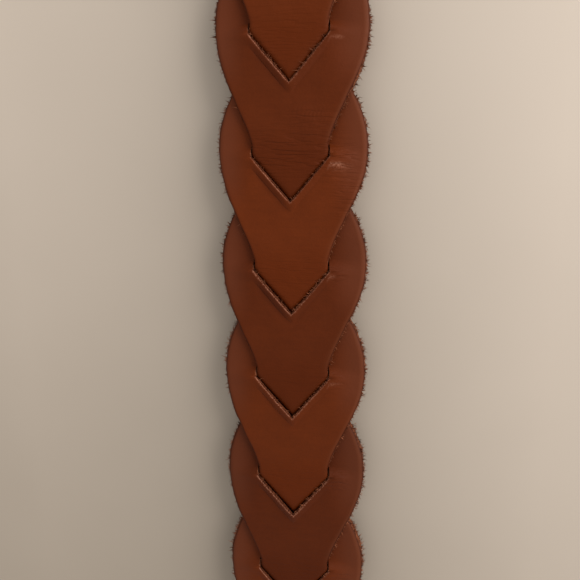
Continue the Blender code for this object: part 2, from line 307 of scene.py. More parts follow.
class BeltSizes(PropertyGroup):
    leather: length_prop("Leather", "Thickness of the leather", 0.0015)
    gap: length_prop("Gap", "Clearance between touching pieces", 0.0003)
    pitch: length_prop("Pitch", "Distance between neighbouring links", PITCH)
    width: length_prop("Width", "Width of the belt at its widest", 0.0380)
    tongue_width: length_prop("Tongue width", "Width of a link's neck", 0.0192)
    tongue_shift: length_prop("Tongue shift", "How far necks and slits are off the middle", -0.0005)
    slit_clearance: length_prop("Slit clearance", "Room beside a neck in its slit", 0.0004)
    slit_rise: length_prop("Slit rise", "Height of the V slit", 0.0115)
    slit_stem: length_prop("Slit stem", "Straight stretch of the slit above the V", 0.0030)
    lip_width: length_prop("Lip width", "Raised strip along the V", 0.0025)
    lip_lift: length_prop("Lip lift", "How far the lips rise", 0.00125)
    flap_cut_back: length_prop("Flap cut back", "How far the flap ends above the V", 0.0020)
    strap_width: length_prop("Strap width", "Width of the two straps", 0.0300)
    step_down: length_prop("Step down", "Length over which a strap's layers close up", 0.0060)
    droop_length: length_prop("Droop length", "Length over which a strap sinks to the surface", 0.0280)
    tip_point: length_prop("Tip point", "Length of the strap's pointed end", 0.0180)
    hole_count: IntProperty(name="Holes", description="Prong holes in the tip strap", default=5, min=1)
    hole_diameter: length_prop("Hole diameter", "Diameter of a prong hole", 0.0046)
    hole_pitch: length_prop("Hole pitch", "Distance between prong holes", 0.0190)
    hole_from_tip: length_prop("Hole from tip", "Distance of the last prong hole from the tip", 0.0350)
    bar_diameter: length_prop("Bar diameter", "Thickness of the buckle's frame", 0.0040)
    bar_straight: length_prop("Straight at the bar", "Strap above the bar before it closes up", 0.0040)
    bar_close: length_prop("Closing at the bar", "Distance from the bar to where the layers meet", 0.0160)
    prong_slot: length_prop("Prong slot", "Width of the slot for the prong", 0.0052)
    prong_slot_length: length_prop("Prong slot length", "Reach of the prong's slot from the bar", 0.0100)


class LeatherLook(PropertyGroup):
    dark: colour_prop("Dark leather", "Colour of the darker links", (0.096, 0.0165, 0.0022))
    light: colour_prop("Light leather", "Colour of the lighter links", (0.116, 0.0200, 0.0024))
    raw: colour_prop("Raw edge", "Colour of the cut edges and fibres", (0.235, 0.078, 0.036))
    # Painted sheen: the paler, duller colour of the arms, which tilt outwards and catch the light
    arm: colour_prop("Arm", "Duller colour beside the slits", (0.127, 0.0315, 0.0125))
    # Pale colour of real fuzz and scuffs, and of the painted highlight along the lips' cut edges
    wear_and_highlight: colour_prop("Worn", "Pale colour of rubbed lips and scuffs", (0.32, 0.130, 0.078))
    # Colour of painted shade: the shadow in the gap where a neck dives under a lip, the shade below the lips
    # and, with a dark edge finish, along the borders
    painted_shade: colour_prop("Hollow", "Deep colour where a neck dives through a slit", (0.014, 0.0022, 0.0006))
    metal: colour_prop("Metal", "Colour of the buckle", (0.50, 0.36, 0.16))
    fibre_length: length_prop("Fibre length", "Usual length of an edge fibre", 0.00055)
    fibre_radius: length_prop("Fibre radius", "Radius of an edge fibre at its root", 0.000105)


class StageLook(PropertyGroup):
    floor: colour_prop("Floor", "Colour of the surface", (0.600, 0.520, 0.446))
    # Colour of the painted shade towards the lower left of the surface
    floor_shade: colour_prop("Dull floor", "Colour of the surface at the lower left", (0.405, 0.344, 0.282))
    picture_angle: angle_prop("Picture angle", "Angle of view of the camera", 49.6)
    camera_distance: length_prop("Camera distance", "From the camera to the middle of the picture", 0.1655)
    camera_lean: angle_prop("Camera lean", "How far the camera leans towards the tip of the belt", 12.0)
    camera_side: angle_prop("Camera side", "How far the camera stands to the belt's right", 7.0)
    camera_roll: angle_prop("Camera roll", "Turn of the picture", -0.6)
    aim_across: length_prop("Aim across", "Place across the belt in the middle of the picture", -0.0009)
    aim_along: length_prop("Aim along", "From the middle link's V tip to the middle of the picture", 0.0063)
    lamp_place: FloatVectorProperty(
        name="Lamp place", description="Middle of the window", default=(1.32, 0.60, 0.70), unit="LENGTH"
    )
    lamp_width: length_prop("Lamp width", "Width of the window", 1.7)
    lamp_height: length_prop("Lamp height", "Height of the window", 1.4)
    key_colour: colour_prop("Key colour", "Colour of the window's light", (1.0, 0.965, 0.92))
    key_energy: FloatProperty(name="Key light", description="Power of the window's light", default=24.0)
    fill_colour: colour_prop("Fill colour", "Colour of the surroundings", (1.0, 0.97, 0.93))
    fill_strength: FloatProperty(name="Fill light", description="Strength of the surroundings", default=0.66)


def smooth(share):
    share = np.clip(share, 0.0, 1.0)
    return share * share * (3.0 - 2.0 * share)


def smooth_curve(table, at):
    """A smooth curve through a table of (place, value) that never overshoots it."""
    places, values = np.array(table, dtype=float).T
    steps = np.diff(places)
    slopes = np.diff(values) / steps
    tangents = np.zeros_like(values)
    before, after = slopes[:-1], slopes[1:]
    same_way = before * after > 0.0
    tangents[1:-1][same_way] = (2.0 * before * after)[same_way] / (before + after)[same_way]
    at = np.clip(at, places[0], places[-1])
    cell = np.clip(np.searchsorted(places, at, side="right") - 1, 0, len(slopes) - 1)
    share = (at - places[cell]) / steps[cell]
    back = 1.0 - share
    return (
        values[cell] * (1.0 + 2.0 * share) * back**2
        + tangents[cell] * steps[cell] * share * back**2
        + values[cell + 1] * (3.0 - 2.0 * share) * share**2
        - tangents[cell + 1] * steps[cell] * back * share**2
    )


def belt_form(sizes):
    """The sizes that every leather piece shares, worked out from the belt's own sizes."""
    low = sizes.gap / 2 + sizes.leather / 2
    high = low + sizes.leather + sizes.gap
    fold_drop = sizes.lip_width + sizes.gap
    fold_crest = fold_drop + low + sizes.leather / 2
    return SimpleNamespace(
        leather=sizes.leather,
        gap=sizes.gap,
        low=low,
        high=high,
        lip=high + sizes.lip_lift,
        lift=FIRST_HIGH.z / 2,
        pitch=sizes.pitch,
        half_belt=sizes.width / 2,
        half_slit=sizes.tongue_width / 2 + sizes.slit_clearance,
        half_strap=sizes.strap_width / 2,
        shift=sizes.tongue_shift,
        clearance=sizes.slit_clearance,
        rise=sizes.slit_rise,
        stem_top=sizes.slit_rise + sizes.slit_stem,
        lip_width=sizes.lip_width,
        cut_back=sizes.flap_cut_back,
        fold_drop=fold_drop,
        notch=sizes.pitch - fold_crest - sizes.gap,
        shoulder=SHOULDER * sizes.pitch,
        waist=WAIST * sizes.pitch,
        bar_radius=sizes.bar_diameter / 2 + sizes.gap + sizes.leather / 2,
        first_tip=FIRST_LOW.y + sizes.pitch + fold_crest,
    )


def link_place(form, number):
    """Distance along the belt of a link's V tip."""
    return form.first_tip + (number - 1) * form.pitch


def slit_line(form, x):
    """Place along the belt of the V line, which ends level with the V's corners."""
    return form.rise * np.minimum(np.abs(x - form.shift) / form.half_slit, 1.0)


def columns():
    """Inner share across the slit and outer share beyond it, for every column from left to right."""
    inner = np.linspace(-1.0, 1.0, INNER_SPANS + 1)
    outer = np.array(OUTER_PLACES)
    across = np.concatenate([-np.ones(len(outer)), inner, np.ones(len(outer))])
    beyond = np.concatenate([-outer[::-1], np.zeros(len(inner)), outer])
    return across, beyond


def column_places(form, y, half_width, across, beyond, shift):
    """Where a row's points lie across the belt, and how far each is from the lobe's edge."""
    side = np.minimum(form.half_slit, 0.9 * half_width)
    lean = shift * (1.0 - smooth((y / form.pitch + 0.25) / 0.6))
    inner = shift + across * side
    edge = np.sign(beyond) * half_width + lean
    x = np.where(beyond == 0.0, inner, inner + (edge - inner) * np.abs(beyond))
    return x, half_width - np.abs(x - lean)


class Grid:
    """Rows and columns over the front half of a piece's middle surface, with the values at its points."""

    def __init__(self, rows):
        count = len(columns()[0])
        self.points = np.zeros((rows, count, 3))
        for name in POINT_VALUES:
            setattr(self, name, np.zeros((rows, count)))
        self.half += 1.0
        self.flap = None

    def shade_edge(self, row, distance, fade=1.0):
        """Thins the leather towards its outer edge, and marks how near that edge is."""
        self.half[row] = rounded(distance, EDGE_ROUND, EDGE_WALL)
        self.border[row] = np.exp(-((distance / EDGE_ROUND) ** 2)) * fade


def rounded(distance, reach, wall):
    """Share of the full thickness at a distance from an edge that rounds off and leaves a wall."""
    share = np.clip(1.0 - distance / reach, 0.0, 1.0)
    return wall + (1.0 - wall) * np.sqrt(1.0 - share**2)


def dive_height(form, x, y):
    """A tongue over its neighbour's flap, and its dive through the neighbour's slit."""
    past = y - (slit_line(form, x) - form.pitch)
    share = (past + 0.6 * form.lip_width) / (0.6 * form.lip_width + form.cut_back)
    return form.low + (form.high - form.low) * smooth(share), past


def lip_rise(form, across, distance):
    """Share of the lip's lift, by the place across the slit and the distance from it along the belt."""
    share = np.clip(1.0 - distance / (LIP_REACH * form.lip_width), 0.0, 1.0)
    towards_ends = 1.0 - LIP_FADE * np.abs(across) ** 3
    return share**LIP_POWER * towards_ends * (1.0 - LIP_RIGHT * smooth(across / 0.3))


def lobe_height(form, y, beyond, inner):
    """Height of a lobe, from the slit's side to the outer edge."""
    edge = form.low + (form.high - form.low) * smooth_curve(EDGE_RISE, y / form.pitch)
    return inner + (edge - inner) * (1.0 - (1.0 - np.abs(beyond)) ** 1.5)


def link_width(form, y):
    """Half width of a link."""
    return form.half_belt * smooth_curve(LINK_OUTLINE, y / form.pitch)


def fill_lower(form, grid, first, places, chevron, outline, height, shift):
    """Rows from a piece's lower end up to its V line."""
    across, beyond = columns()
    inside = beyond == 0.0
    foot_line = LIP_FOOT * form.lip_width
    # Painted highlight along the lips' cut edges: full on the left lips, which face the lamp, weaker on the
    # right.
    highlit = np.where(across < 0.0, 1.0, 0.991)
    for row, (place, share) in enumerate(zip(places, chevron), first):
        y = place + share * form.rise * (np.abs(across) - EDGE_FALL * np.abs(beyond))
        x, edge_distance = column_places(form, y, outline(y), across, beyond, shift(place))
        z = height(x, y)
        slit_distance = slit_line(form, x) - y
        lip = form.high + (form.lip - form.high) * lip_rise(form, across, slit_distance)
        z = np.where(y > LOBE_START * form.pitch, z + (lobe_height(form, y, beyond, lip) - form.high), z)
        crease = np.exp(-(((slit_distance - foot_line) / CREASE_WIDTH) ** 2))
        side = np.where(across < 0.0, 1.0, 0.3) * smooth((1.0 - np.abs(across)) / 0.2) * inside
        side *= smooth((np.abs(across) - 0.02) / 0.25)
        slope = smooth(slit_distance / 0.0006) * smooth((foot_line - slit_distance) / 0.0005)
        # Marks the painted shade in the crease and on the slope below the lip, stronger on the left.
        grid.foot[row] = side * (crease + 0.5 * slope)
        z -= CREASE_DEPTH * side * crease
        grid.points[row] = np.stack([x, y, z], axis=1)
        grid.shade_edge(row, edge_distance, smooth((y / form.pitch + 0.66) / 0.15))
        near_slit = inside & (place > -2.0 * form.lip_width)
        lip_half = rounded(0.68 * slit_distance, LIP_ROUND, LIP_WALL)
        grid.half[row] = np.where(near_slit, np.minimum(grid.half[row], lip_half), grid.half[row])
        grid.lip[row] = np.where(near_slit, highlit * np.exp(-((slit_distance / LIP_ROUND) ** 2)), 0.0)
        grid.arm[row] = smooth(np.abs(beyond) / 0.8) * smooth((y / form.pitch + 0.15) / 0.5)


def fill_upper(form, grid, first):
    """Arms beside the V, up to their shoulders, and the flap above it."""
    across, beyond = columns()
    inside = beyond == 0.0
    flap = np.zeros((STEM_SPANS, len(across), 3))
    corner = form.high + (form.lip - form.high) * lip_rise(form, across, 0.0)
    leaning = 0.5 * form.clearance
    for step in range(STEM_SPANS + ARM_SPANS + 1):
        if step <= STEM_SPANS:
            share = step / STEM_SPANS
            side_y = form.rise + (form.stem_top - form.rise) * share
            outer_y = side_y
            side_z = corner + (form.low - corner) * smooth(share)
            lean = share
        else:
            share = (step - STEM_SPANS) / ARM_SPANS
            side_y = form.stem_top + (form.notch - form.stem_top) * share
            outer_y = form.stem_top + (form.shoulder - form.stem_top) * share
            side_z = form.low
            lean = 1.0
        fall = EDGE_FALL * form.rise * np.abs(beyond) * (1.0 - step / (STEM_SPANS + ARM_SPANS))
        outwards = smooth(np.abs(beyond) / OUTER_PLACES[0])
        y = np.where(inside, side_y, side_y + (outer_y - side_y) * outwards) - fall
        x, edge_distance = column_places(form, y, link_width(form, y), across, beyond, form.shift)
        x -= across * lean * leaning * (1.0 - np.abs(beyond))
        if step > 0:
            row = first + step
            grid.points[row] = np.stack([x, y, lobe_height(form, y, beyond, side_z)], axis=1)
            grid.shade_edge(row, edge_distance)
            grid.arm[row] = smooth(np.abs(beyond) / 0.8)
        if step < STEM_SPANS:
            share = step / STEM_SPANS
            line = form.rise * np.abs(across) + form.cut_back * (1.0 - 0.25 * np.abs(across))
            flap_y = line + (form.stem_top - line) * share
            flap_half = form.half_slit - leaning * share - form.clearance * (1.0 - share)
            flap_x = form.shift + across * flap_half
            flap[step] = np.stack([flap_x, flap_y, np.full(len(across), form.low)], axis=1)
    grid.flap = (first, first + STEM_SPANS, flap)


def fan_rows(form):
    """Places and chevron shares of the rows that turn from the straight fold to the V's slopes."""
    fold_y = -form.pitch - form.fold_drop
    share = np.linspace(0.0, 1.0, FAN_SPANS + 1)[1:]
    return fold_y, list(fold_y + share * (form.fold_drop + DIVE_PLACES[0])), list(share)


def chevron_rows(form, first):
    """Places of the rows that run parallel to the V line, from a first place up to the line itself."""
    last = -LIP_PLACES[0] * form.lip_width
    count = int(round((last - first) / (form.pitch / (BODY_SPANS + 4))))
    return [*np.linspace(first, last, count + 1)[1:-1], *(-share * form.lip_width for share in LIP_PLACES)]


def add_fold(grid, centre_y, radius, spans):
    """The first rows of a grid, from the fold's crest up to the row above the fold."""
    for row in range(spans + 1):
        angle = math.radians(90.0) * row / spans
        grid.points[row, :, 0] = grid.points[spans + 1, :, 0]
        grid.points[row, :, 1] = centre_y - radius * math.cos(angle)
        grid.points[row, :, 2] = radius * math.sin(angle)
        grid.half[row] = grid.half[spans + 1]


def link_grid(form):
    """A folded link: its neck, its lobe with the V slit, the arms beside the slit and the flap above it."""
    fold_y, fan, turning = fan_rows(form)
    dive = [place - form.pitch for place in DIVE_PLACES[1:]]
    parallel = dive + chevron_rows(form, dive[-1])
    places = fan + parallel
    first_upper = FOLD_SPANS + len(places)
    grid = Grid(first_upper + STEM_SPANS + ARM_SPANS + 1)
    fill_lower(
        form,
        grid,
        FOLD_SPANS + 1,
        places,
        turning + [1.0] * len(parallel),
        lambda y: link_width(form, y),
        lambda x, y: dive_height(form, x, y)[0],
        lambda place: form.shift,
    )
    add_fold(grid, fold_y, form.low, FOLD_SPANS)
    shade_dive(form, grid)
    fill_upper(form, grid, first_upper)
    return grid


def shade_dive(form, grid):
    """Marks how near each point of a neck is to the slit that it dives through, and thins the neck there."""
    x, y = grid.points[:, :, 0], grid.points[:, :, 1]
    on_neck = y < NECK_END * form.pitch
    past = dive_height(form, x, y)[1]
    # The dive mark steers painted shade towards the slit, weaker on the right of it, and the real suede at
    # the V.
    nearness = np.exp(-np.clip(past, 0.0, None) / DIVE_REACH) * np.where(x < form.shift, 1.0, 0.75)
    grid.dive = np.where(on_neck, nearness, 0.0)
    squeezed = SQUEEZE * np.exp(-(((past - SQUEEZE_PLACE) / SQUEEZE_LENGTH) ** 2))
    grid.half *= 1.0 - np.where(on_neck, squeezed, 0.0)
    grid.neck = smooth((NECK_END - y / form.pitch) / 0.35)


def buckle_strap_grid(form, sizes, bar_y):
    """A lobe like a link's on a strap that folds round the buckle's bar."""
    body_start = -0.75 * form.pitch
    close = bar_y + sizes.bar_close
    count = int(round((body_start - bar_y) / STRAP_STEP))
    strap = list(np.linspace(bar_y, body_start, count + 1)[1:])
    turn_end = body_start + form.pitch / 7
    turn = list(np.linspace(body_start, turn_end, FAN_SPANS + 1)[1:])
    turning = list(np.linspace(0.0, 1.0, FAN_SPANS + 1)[1:])
    parallel = chevron_rows(form, turn_end)
    places = strap + turn + parallel
    fold_spans = 2 * FOLD_SPANS
    first_upper = fold_spans + len(places)
    grid = Grid(first_upper + STEM_SPANS + ARM_SPANS + 1)

    def lobe_share(y):
        return smooth((y - form.waist + sizes.step_down) / sizes.step_down)

    def outline(y):
        return form.half_strap + (link_width(form, y) - form.half_strap) * lobe_share(y)

    def height(x, y):
        from_bar = smooth((y - bar_y - sizes.bar_straight) / (close - bar_y - sizes.bar_straight))
        strap_height = form.bar_radius + (form.low - form.bar_radius) * from_bar
        return strap_height + (form.high - strap_height) * lobe_share(y)

    fill_lower(
        form,
        grid,
        fold_spans + 1,
        places,
        [0.0] * len(strap) + turning + [1.0] * len(parallel),
        outline,
        height,
        lambda place: form.shift * float(lobe_share(place)),
    )
    add_fold(grid, bar_y, form.bar_radius, fold_spans)
    fill_upper(form, grid, first_upper)
    return grid


def tip_strap_grid(form, sizes, length):
    """A neck like a link's on a doubled strap with a pointed end."""
    across, beyond = columns()
    fold_y, fan, turning = fan_rows(form)
    dive = [place - form.pitch for place in DIVE_PLACES[1:]]
    turn_end = 0.25 * form.pitch
    turn = list(np.linspace(dive[-1], turn_end, TURN_ROWS + 1)[1:])
    straightening = list(1.0 - smooth(np.linspace(0.0, 1.0, TURN_ROWS + 1)[1:]))
    count = int(round((length - sizes.tip_point - turn_end) / STRAP_STEP))
    strap = list(np.linspace(turn_end, length - sizes.tip_point, count + 1)[1:])
    point_shares = np.sin(np.linspace(0.0, math.pi / 2, POINT_ROWS + 1)[1:])
    point = [length - sizes.tip_point * (1.0 - share) for share in point_shares]
    places = fan + dive + turn + strap + point
    chevron = turning + [1.0] * len(dive) + straightening + [0.0] * (len(strap) + len(point))
    grid = Grid(FOLD_SPANS + 1 + len(places))

    def outline(y):
        lobe = link_width(form, np.minimum(y, 0.0))
        strap_edge = form.half_strap * smooth_curve(TIP_OUTLINE, (y - length) / sizes.tip_point + 1.0)
        return lobe + (strap_edge - lobe) * smooth((y - form.waist) / -form.waist)

    def height(x, y):
        return dive_height(form, x, y)[0] + (form.low - form.high) * smooth(y / sizes.step_down)

    for row, (place, share) in enumerate(zip(places, chevron), FOLD_SPANS + 1):
        y = place + share * form.rise * (np.abs(across) - EDGE_FALL * np.abs(beyond))
        shift = form.shift * (1.0 - float(smooth(place / 0.01 + 1.0)))
        x, edge_distance = column_places(form, y, outline(y), across, beyond, shift)
        grid.points[row] = np.stack([x, y, height(x, y)], axis=1)
        grid.shade_edge(row, edge_distance, smooth((y / form.pitch + 0.6) / 0.2))
        grid.half[row] = np.minimum(grid.half[row], rounded(length - y, EDGE_ROUND, EDGE_WALL))
    add_fold(grid, fold_y, form.low, FOLD_SPANS)
    shade_dive(form, grid)
    return grid


def half_surface(grid):
    """Points, quads and point values of the front half, with the flap beside its slit."""
    rows, count = grid.points.shape[:2]
    index = np.arange(rows * count).reshape(rows, count)
    points = grid.points.reshape(-1, 3)
    values = {name: getattr(grid, name).reshape(-1) for name in POINT_VALUES}
    flap_index = index.copy()
    flap_cells = np.zeros((rows - 1, count - 1), dtype=bool)
    if grid.flap:
        first, last, flap = grid.flap
        left = len(OUTER_PLACES)
        right = left + INNER_SPANS
        added = len(points) + np.arange((last - first) * (right - left + 1)).reshape(last - first, -1)
        flap_index[first:last, left : right + 1] = added
        points = np.concatenate([points, flap[:, left : right + 1].reshape(-1, 3)])
        extra = added.size
        values = {name: np.concatenate([value, np.zeros(extra)]) for name, value in values.items()}
        values["half"][-extra:] = 1.0
        flap_cells[first:, left:right] = True
    corners = ((0, 0), (0, 1), (1, 1), (1, 0))

    def cells(table):
        return np.stack([table[r : rows - 1 + r, c : count - 1 + c] for r, c in corners], axis=-1)

    quads = np.where(flap_cells[:, :, None], cells(flap_index), cells(index)).reshape(-1, 4)
    return points, quads, values, index


def both_halves(points, quads, values, crest):
    """Adds the back half, mirrored through the middle plane and joined along the fold's crest."""
    total = len(points)
    twin = np.arange(total) + total
    twin[crest] = crest
    points = np.concatenate([points, points * (1.0, 1.0, -1.0)])
    quads = np.concatenate([quads, twin[quads][:, ::-1]])
    values = {name: np.concatenate([value, value]) for name, value in values.items()}
    used = np.unique(quads)
    lookup = np.zeros(len(points), dtype=int)
    lookup[used] = np.arange(len(used))
    return points[used], lookup[quads], {name: value[used] for name, value in values.items()}


def corner_normals(points, quads):
    """Normal of the surface at each point."""
    a, b, c, d = (points[quads[:, k]] for k in range(4))
    face_normals = np.cross(c - a, d - b)
    normals = np.zeros_like(points)
    for k in range(4):
        np.add.at(normals, quads[:, k], face_normals)
    return normals / np.maximum(np.linalg.norm(normals, axis=1, keepdims=True), 1e-12)


def border_edges(quads):
    """Directed edges that only one face uses, with the face on their left."""
    edges = np.concatenate([quads[:, [k, (k + 1) % 4]] for k in range(4)])
    total = quads.max() + 1
    keys = edges[:, 0] * total + edges[:, 1]
    twins = edges[:, 1] * total + edges[:, 0]
    return edges[~np.isin(keys, twins)]


def undulation(rng, points, height, shortest, longest, count=14):
    """Gentle hills and hollows, as a sum of waves."""
    total = np.zeros(len(points))
    for _ in range(count):
        length = rng.uniform(shortest, longest)
        turn = rng.uniform(0.0, math.pi)
        phase = rng.uniform(0.0, 2.0 * math.pi)
        along = points[:, 0] * math.cos(turn) + points[:, 1] * math.sin(turn)
        total += np.sin(2.0 * math.pi * along / length + phase)
    return total * height / math.sqrt(count)


def zone(form, patches, points, least=0.0):
    """How much of a kind of wear each point has."""
    total = np.full(len(points), least)
    for side, along, reach_x, reach_y, strength in patches:
        dx = (points[:, 0] - form.shift - side * form.half_slit) / (reach_x * form.half_slit)
        dy = (points[:, 1] - along * form.pitch) / (reach_y * form.pitch)
        total += strength * np.exp(-(dx**4) - dy**2)
    return np.minimum(total, 1.0)


def groove_relief(form, grooves, points):
    """Grooves along short lines across the leather."""
    total = np.zeros(len(points))
    for side, along, reach, turn, depth, width in grooves:
        dx = points[:, 0] - form.shift - side * form.half_slit
        dy = points[:, 1] - along * form.pitch
        angle = math.radians(turn)
        run = dx * math.cos(angle) + dy * math.sin(angle)
        off = dy * math.cos(angle) - dx * math.sin(angle) + 0.0002 * np.sin(run * 1700.0 + side)
        window = smooth(1.3 * (1.0 - np.abs(run) / (reach * form.half_slit)))
        total -= depth * np.exp(-((off / width) ** 2)) * window
        total += 0.5 * depth * np.exp(-(((off - 1.8 * width) / width) ** 2)) * window
    return total


def spikes(rings, tips):
    """Closed three-sided spikes through rings of corners to their tips."""
    count = len(tips)
    points = np.stack([*rings, tips], axis=1).reshape(-1, 3)
    total = len(rings) + 1
    triangles = [(0, 1, 2)]
    for k in range(3):
        following = (k + 1) % 3
        for low in range(0, len(rings) - 3, 3):
            triangles.append((low + k, low + 3 + k, low + 3 + following))
            triangles.append((low + k, low + 3 + following, low + following))
        last = len(rings) - 3
        triangles.append((last + k, total - 1, last + following))
    base = total * np.arange(count)[:, None]
    return points, np.concatenate([base + np.array(triangle)[None, :] for triangle in triangles])


def fibres(rng, roots, outward, normals, along, look, lengths):
    """Thin hairs: the short ones straight, the long ones bent."""
    count = len(roots)
    spread = rng.uniform(-1.0, 1.0, (count, 3))
    direction = outward + normals * (0.35 * spread[:, :1] + 0.1) + along * 0.9 * spread[:, 1:2]
    direction /= np.linalg.norm(direction, axis=1, keepdims=True)
    bent = direction + 0.9 * rng.uniform(-1.0, 1.0, (count, 3))
    bent /= np.linalg.norm(bent, axis=1, keepdims=True)
    middle = roots + direction * lengths[:, None] * 0.5
    tips = middle + bent * lengths[:, None] * 0.5
    across = np.cross(direction, along)
    across /= np.maximum(np.linalg.norm(across, axis=1, keepdims=True), 1e-9)
    upright = np.cross(direction, across)
    rings = []
    for centre, radius in ((roots, look.fibre_radius), (middle, 0.7 * look.fibre_radius)):
        for k in range(3):
            angle = 2.0 * math.pi * k / 3
            rings.append(centre + radius * (across * math.cos(angle) + upright * math.sin(angle)))
    short = lengths < HAIR_STRAIGHT * look.fibre_length
    short_points, short_faces = spikes([ring[short] for ring in rings[:3]], tips[short])
    long_points, long_faces = spikes([ring[~short] for ring in rings], tips[~short])
    return (
        np.concatenate([short_points, long_points]),
        np.concatenate([short_faces, long_faces + len(short_points)]),
    )


def add_object(name, data):
    made = bpy.data.objects.new(name, data)
    bpy.context.scene.collection.objects.link(made)
    return made


def applied_mesh(piece):
    """A piece's mesh with its modifiers or its curve's thickness applied."""
    graph = bpy.context.evaluated_depsgraph_get()
    return bpy.data.meshes.new_from_object(piece.evaluated_get(graph), depsgraph=graph)


def add_boolean(piece, other, operation):
    step = piece.modifiers.new(other.name, "BOOLEAN")
    step.operation = operation
    step.solver = "EXACT"
    step.object = other
    return step


class Leather:
    """A closed leather body made from its middle surface, with raw edges and fibres."""

    def __init__(self, form, look, grid, seed):
        self.form = form
        self.look = look
        self.rng = np.random.default_rng(seed)
        points, quads, values, index = half_surface(grid)
        self.points, self.quads, self.values = both_halves(points, quads, values, index[0])

    def add_relief(self, grooves=(), wrinkles=(), scuffs=(), lips=(0.5, 0.5), tone=1.0, height=LINK_WAVES):
        """Waves, grooves and the values that this piece's wear, tone and painted shade give its points."""
        front = np.where(self.points[:, 2] >= 0.0, 1.0, -1.0)
        fade = np.clip(np.abs(self.points[:, 2]) / self.form.low, 0.0, 1.0)
        seen = self.rng.spawn(1)[0]
        relief = undulation(seen, self.points, height, *LONG_WAVES)
        relief += undulation(seen, self.points, 0.35 * height, *SHORT_WAVES)
        relief += groove_relief(self.form, grooves, self.points)
        self.values["wrinkle"] = zone(self.form, wrinkles, self.points, 0.06)
        self.values["scuff"] = zone(self.form, scuffs, self.points)
        self.values["foot"] = self.values["foot"] * lips[0]
        self.values["fuzz"] = np.full(len(self.points), lips[1])
        self.values["tone"] = np.full(len(self.points), tone)
        self.points[:, 2] += front * fade * relief

    def sink(self, start, direction, length, depth):
        """Lowers a strap smoothly from the links' height to the surface."""
        self.points[:, 2] -= depth * smooth(direction * (self.points[:, 1] - start) / length)

    def close(self, fibre_density):
        """Faces on both sides and round the cut edge, then the fibres that stand on it."""
        form, rng, look = self.form, self.rng, self.look
        normals = corner_normals(self.points, self.quads)
        half = (self.values["half"] * form.leather / 2)[:, None]
        edges = border_edges(self.quads)
        start, end = edges.T
        runs = self.points[end] - self.points[start]
        lengths = np.linalg.norm(runs, axis=1, keepdims=True)
        runs = runs / np.maximum(lengths, 1e-9)
        sideways = np.cross(runs, normals[start] + normals[end])
        outward = np.zeros_like(self.points)
        np.add.at(outward, start, sideways)
        np.add.at(outward, end, sideways)
        outward /= np.maximum(np.linalg.norm(outward, axis=1, keepdims=True), 1e-9)
        rough = rng.uniform(*EDGE_ROUGH, (len(self.points), 1))
        top = self.points + normals * half + outward * rough
        bottom = self.points - normals * half + outward * rough
        total = len(self.points)
        rim = np.unique(edges)
        middle_of = np.zeros(total, dtype=int)
        middle_of[rim] = 2 * total + np.arange(len(rim))
        bulge = rng.uniform(*EDGE_BULGE, (len(rim), 1))
        middle = self.points[rim] + outward[rim] * (bulge + rough[rim])
        rim_quads = np.concatenate(
            [
                np.stack([end, start, middle_of[start], middle_of[end]], axis=1),
                np.stack([middle_of[end], middle_of[start], start + total, end + total], axis=1),
            ]
        )
        self.body_points = np.concatenate([top, bottom, middle])
        self.body_quads = np.concatenate([self.quads, self.quads[:, ::-1] + total, rim_quads])
        self.body_material = np.repeat([0, 1], [len(self.quads), len(self.quads) + len(rim_quads)])
        self.body_values = {
            name: np.concatenate([value, value, value[rim]])
            for name, value in self.values.items()
            if name != "half"
        }

        density = fibre_density(self.points[start], self.points[end])
        count = rng.poisson(density * lengths[:, 0])
        chosen = np.repeat(np.arange(len(edges)), count)
        share = rng.uniform(0.0, 1.0, (len(chosen), 1))
        level = rng.uniform(-0.9, 0.9, (len(chosen), 1))
        a, b = start[chosen], end[chosen]
        root_normal = normals[a]
        root = self.points[a] * (1.0 - share) + self.points[b] * share + root_normal * half[a] * level
        tuft = np.sin(self.points[a, 1] * 4100.0 + a % 3) * np.sin(self.points[a, 1] * 1300.0)
        growth = rng.exponential(HAIR_SPREAD, len(chosen)) * (1.0 + 0.9 * np.abs(tuft))
        hair = look.fibre_length * (HAIR_LEAST + growth)
        hair = np.minimum(hair, HAIR_MOST * look.fibre_length)
        run = runs[chosen]
        self.hair_points, self.hair_faces = fibres(rng, root, outward[a], root_normal, run, look, hair)

    def make(self, name, place, materials):
        """The body without its fibres, lying where its solid does."""
        self.place = np.array([0.0, place, self.form.lift])
        mesh = bpy.data.meshes.new(name)
        mesh.from_pydata((self.body_points + self.place).tolist(), [], self.body_quads.tolist())
        mesh.polygons.foreach_set("material_index", self.body_material)
        for value_name, value in self.body_values.items():
            attribute = mesh.attributes.new(value_name, "FLOAT", "POINT")
            attribute.data.foreach_set("value", value)
        for material in materials:
            mesh.materials.append(material)
        mesh.update()
        return add_object(name, mesh)

    def finish(self, piece):
        """Joins the fibres to the body and smooths the shading of both."""
        hairs = bpy.data.meshes.new("fibres")
        hairs.from_pydata((self.hair_points + self.place).tolist(), [], self.hair_faces.tolist())
        hairs.polygons.foreach_set("material_index", np.full(len(self.hair_faces), 1))
        both = bmesh.new()
        both.from_mesh(piece.data)
        both.from_mesh(hairs)
        both.to_mesh(piece.data)
        both.free()
        bpy.data.meshes.remove(hairs)
        piece.data.shade_smooth()
        piece.data.set_sharp_from_angle(angle=math.radians(LEATHER_CREASE))


